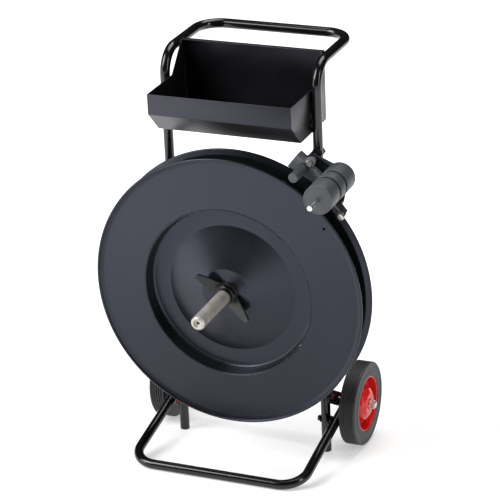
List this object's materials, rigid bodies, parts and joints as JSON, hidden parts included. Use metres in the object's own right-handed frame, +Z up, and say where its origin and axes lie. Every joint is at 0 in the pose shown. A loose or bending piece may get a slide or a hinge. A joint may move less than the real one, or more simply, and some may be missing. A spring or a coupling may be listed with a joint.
{
  "type": "strapping coil dispenser trolley",
  "caption": "Wheeled strapping coil dispenser: leaning tube frame with push bar, tool tray, two-flange reel clamped by a wing nut, and a sprung brake arm with strap rollers.",
  "frame": {"origin": "on the floor, in the middle of the machine's width and midway between the spindle's front tip and the back of the tyres, which is the bottom centre of the whole machine's box", "axes": "+Z up from the floor, +X to the viewer's right of the reel, +Y to the rear; the machine leans 5.4 degrees towards -Y, so its spindle points along (0, cos 5.4, sin 5.4)"},
  "size_m": [0.632, 0.489, 0.9556],
  "materials": {
    "black_tube": "gloss black powder coat on steel tube",
    "black_sheet": "semi-gloss black powder coat on pressed sheet",
    "black_tray": "satin black powder coat on folded sheet",
    "grey_arm": "satin dark grey paint on folded steel",
    "black_casting": "black painted casting",
    "zinc": "bright zinc plating",
    "spindle_steel": "bright machined steel",
    "roller_satin": "satin turned aluminium",
    "bronze": "oil-filled bronze",
    "rubber": "dark grey moulded rubber",
    "red_rim": "gloss red enamel on pressed steel",
    "cap_plastic": "black moulded plastic",
    "lining": "dense friction lining",
    "spring_steel": "oil-tempered spring steel"
  },
  "bodies": {
    "frame": {"upright_frame": "black_tube", "foot_tube": "black_tube", "foot_caps": "cap_plastic", "upright_caps": "cap_plastic", "tray_shell": "black_tray", "tray_cheek_left": "black_tray", "tray_cheek_right": "black_tray", "tray_screws": "zinc", "cross_beam": "black_sheet", "bearing_housing": "black_sheet", "spindle_bushes": "bronze", "axle": "zinc", "axle_stay_left": "black_sheet", "axle_stay_right": "black_sheet", "foot_bolts": "black_sheet", "stay_bolts": "black_sheet", "axle_spacers": "black_sheet", "axle_nuts": "zinc", "pivot_bolt": "zinc", "pivot_nut": "zinc", "pivot_boss": "black_sheet", "torsion_spring": "spring_steel"},
    "reel": {"spindle": "spindle_steel", "rear_flange_ring": "black_sheet", "rear_core_wall": "black_sheet", "rear_core_cone": "black_sheet", "reel_hub": "black_sheet", "hub_bolts": "zinc", "thrust_washers": "zinc", "spindle_lock_nut": "zinc"},
    "front_flange": {"front_flange_ring": "black_sheet", "front_core_wall": "black_sheet", "front_core_cone": "black_sheet", "flange_guide_bush": "black_casting"},
    "clamp_washer": {"nut_washer": "black_casting"},
    "clamp_nut": {"wing_nut": "black_casting"},
    "brake_arm": {"brake_bracket": "grey_arm", "brake_lever": "black_sheet", "guide_pin": "zinc", "guide_collar": "cap_plastic", "roller_shaft": "zinc", "roller_spacers": "cap_plastic", "shaft_nuts": "zinc", "brake_shoe": "zinc", "brake_lining": "lining", "shoe_bolt": "zinc"},
    "guide_roller": {"guide_roller": "roller_satin"},
    "strap_roller_front": {"roller_front": "roller_satin"},
    "strap_roller_middle": {"roller_middle": "roller_satin"},
    "strap_roller_rear": {"roller_rear": "roller_satin"},
    "wheel_left": {"tyre_left": "rubber", "wheel_barrel_left": "red_rim", "wheel_disc_left": "red_rim", "wheel_hub_left": "red_rim", "wheel_bush_left": "bronze"},
    "wheel_right": {"tyre_right": "rubber", "wheel_barrel_right": "red_rim", "wheel_disc_right": "red_rim", "wheel_hub_right": "red_rim", "wheel_bush_right": "bronze"}
  },
  "joints": [
    {"name": "spindle_spin", "type": "hinge", "parent": "frame", "child": "reel", "pos_m": [0, -0.08005, 0.41073], "axis": [0, 0.9956, 0.0941], "continuous": true},
    {"name": "nut_travel", "type": "slide", "parent": "reel", "child": "clamp_washer", "axis": [0, -0.9956, -0.0941], "range_m": [0, 0.13]},
    {"name": "flange_travel", "type": "slide", "parent": "reel", "child": "front_flange", "axis": [0, -0.9956, -0.0941], "range_m": [0, 0.13]},
    {"name": "nut_spin", "type": "hinge", "parent": "clamp_washer", "child": "clamp_nut", "pos_m": [0, -0.09, 0.40979], "axis": [0, -0.9956, -0.0941], "range_deg": [0, 7799]},
    {"name": "brake_swing", "type": "hinge", "parent": "frame", "child": "brake_arm", "pos_m": [0.1775, -0.02882, 0.71892], "axis": [0, -0.9956, -0.0941], "range_deg": [0, 20], "stiffness_Nm_per_rad": 2, "springref_deg": -34.38, "deforming": ["torsion_spring"]},
    {"name": "guide_roller_spin", "type": "hinge", "parent": "brake_arm", "child": "guide_roller", "pos_m": [0.1634, -0.07737, 0.70117], "axis": [0, 0.9956, 0.0941], "continuous": true},
    {"name": "roller_front_spin", "type": "hinge", "parent": "brake_arm", "child": "strap_roller_front", "pos_m": [0.2436, -0.13557, 0.6793], "axis": [0, 0.9956, 0.0941], "continuous": true},
    {"name": "roller_middle_spin", "type": "hinge", "parent": "brake_arm", "child": "strap_roller_middle", "pos_m": [0.2436, -0.08778, 0.68381], "axis": [0, 0.9956, 0.0941], "continuous": true},
    {"name": "roller_rear_spin", "type": "hinge", "parent": "brake_arm", "child": "strap_roller_rear", "pos_m": [0.2436, -0.04198, 0.68814], "axis": [0, 0.9956, 0.0941], "continuous": true},
    {"name": "wheel_left_spin", "type": "hinge", "parent": "frame", "child": "wheel_left", "pos_m": [-0.235, 0.14749, 0.10228], "axis": [1, 0, 0], "continuous": true},
    {"name": "wheel_right_spin", "type": "hinge", "parent": "frame", "child": "wheel_right", "pos_m": [0.235, 0.14749, 0.10228], "axis": [1, 0, 0], "continuous": true}
  ],
  "couplings": [
    {"joint": "nut_travel", "follows": "nut_spin", "m_per_rad": 0.00095493},
    {"joint": "flange_travel", "follows": "nut_spin", "m_per_rad": 0.00095493}
  ]
}
